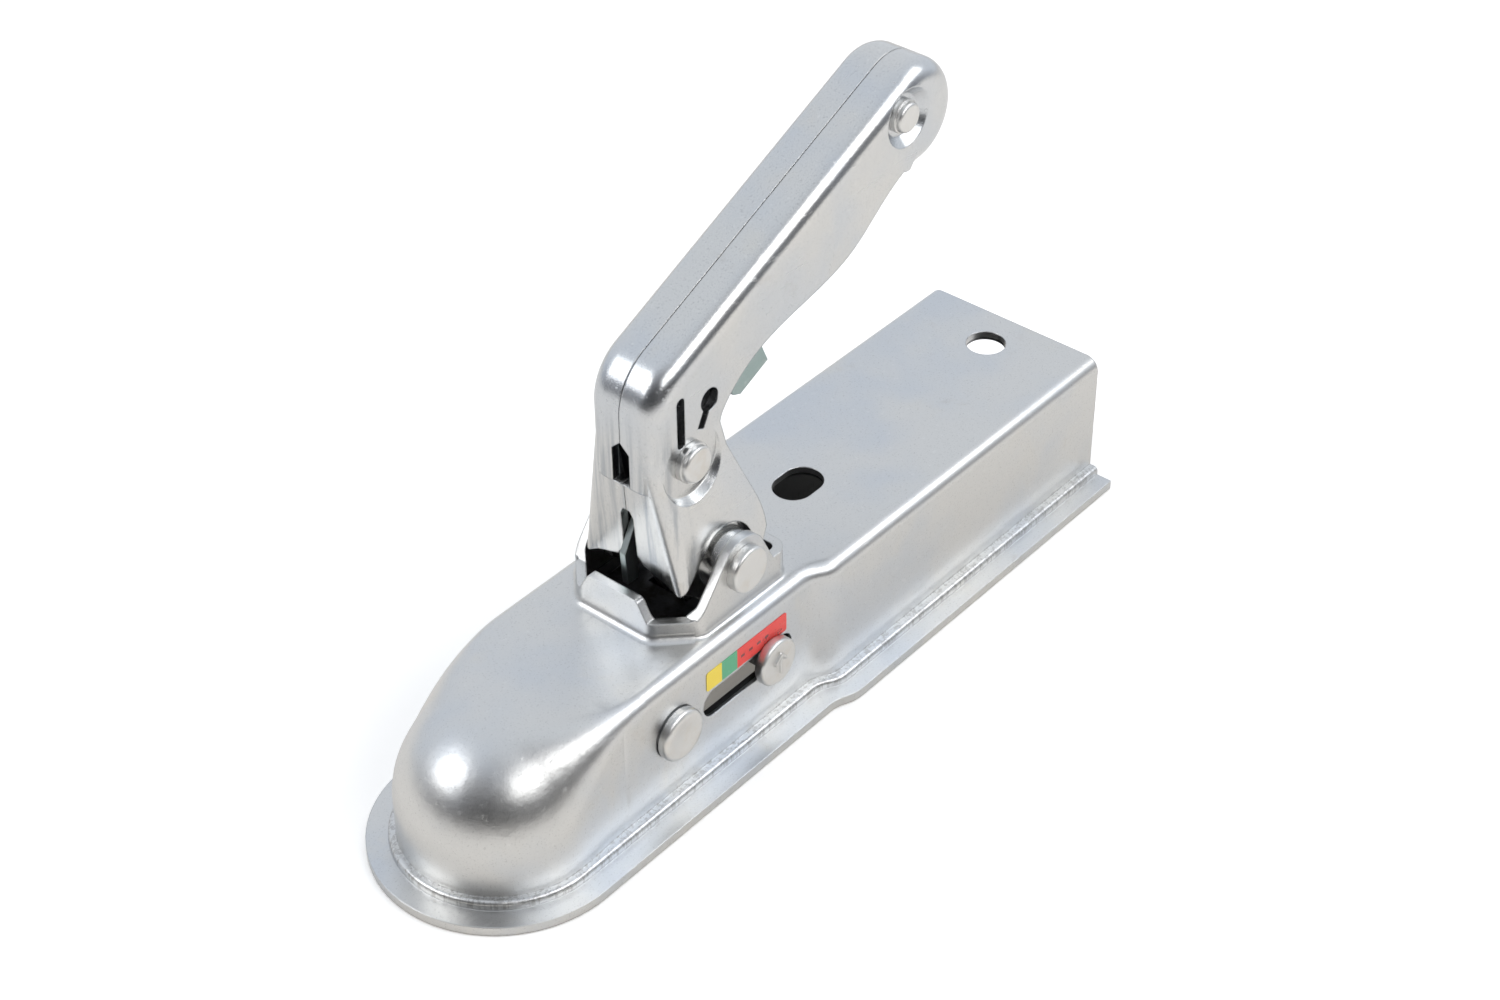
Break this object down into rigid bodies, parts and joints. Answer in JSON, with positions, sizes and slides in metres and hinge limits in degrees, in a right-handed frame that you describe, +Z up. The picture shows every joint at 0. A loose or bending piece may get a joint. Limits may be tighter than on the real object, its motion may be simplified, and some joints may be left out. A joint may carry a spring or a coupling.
{
  "type": "trailer coupling head",
  "caption": "Pressed-steel trailer coupling head for a tow ball, with hinged locking handle, safety catch, sprung sliding lock, ball jaw and position indicator.",
  "frame": {"origin": "on the axis of the tow ball, at the underside of the flange, which is the mouth of the ball socket", "axes": "+X to the rear along the drawbar, +Y to the side away from the indicator label, +Z up along the bolts and the handle"},
  "size_m": [0.2783, 0.0828, 0.1753],
  "materials": {
    "housing_steel": "bright zinc plate on pressed sheet",
    "handle_steel": "bright zinc plate on pressed sheet",
    "pin_steel": "zinc plated, headed ends",
    "dark_steel": "greased steel inside the mechanism",
    "plate_steel": "zinc plated sheet with a faint blue tint",
    "spring_steel": "oiled spring wire",
    "jaw_iron": "greased casting",
    "label_vinyl": "printed film in yellow, green and red fields"
  },
  "bodies": {
    "housing": {"housing_shell": "housing_steel", "pivot_pin": "pin_steel", "jaw_pin": "pin_steel", "jaw_spacer_near": "dark_steel", "jaw_spacer_far": "dark_steel", "spring_seat": "dark_steel", "indicator_label": "label_vinyl", "main_spring": "spring_steel"},
    "handle": {"handle_half_near": "handle_steel", "handle_half_far": "handle_steel", "catch_rivet": "pin_steel", "tip_rivet": "pin_steel", "tip_spacer": "dark_steel", "pivot_spacer_near": "dark_steel", "pivot_spacer_far": "dark_steel", "drive_plate_near": "dark_steel", "drive_plate_far": "dark_steel", "catch_spring": "spring_steel"},
    "slider": {"lock_slider": "dark_steel", "indicator_pin": "pin_steel"},
    "jaw": {"jaw": "jaw_iron"},
    "catch": {"catch_plate": "plate_steel", "catch_trigger": "plate_steel"}
  },
  "joints": [
    {"name": "handle_hinge", "type": "hinge", "parent": "housing", "child": "handle", "pos_m": [0.075, 0, 0.0615], "axis": [0, 1, 0], "range_deg": [0, 37.7]},
    {"name": "lock_slide", "type": "slide", "parent": "housing", "child": "slider", "axis": [1, 0, 0], "range_m": [-0.0242, 0], "deforming": ["main_spring"]},
    {"name": "jaw_hinge", "type": "hinge", "parent": "housing", "child": "jaw", "pos_m": [0.0395, 0, 0.0273], "axis": [0, 1, 0], "range_deg": [0, 15]},
    {"name": "catch_hinge", "type": "hinge", "parent": "handle", "child": "catch", "pos_m": [0.0665, 0, 0.098], "axis": [0, -1, 0], "range_deg": [0, 10], "stiffness_Nm_per_rad": 0.5, "springref_deg": -11.46}
  ],
  "couplings": [
    {"joint": "lock_slide", "follows": "handle_hinge", "m_per_rad": -0.03677},
    {"joint": "jaw_hinge", "follows": "handle_hinge", "ratio": 0.397}
  ]
}
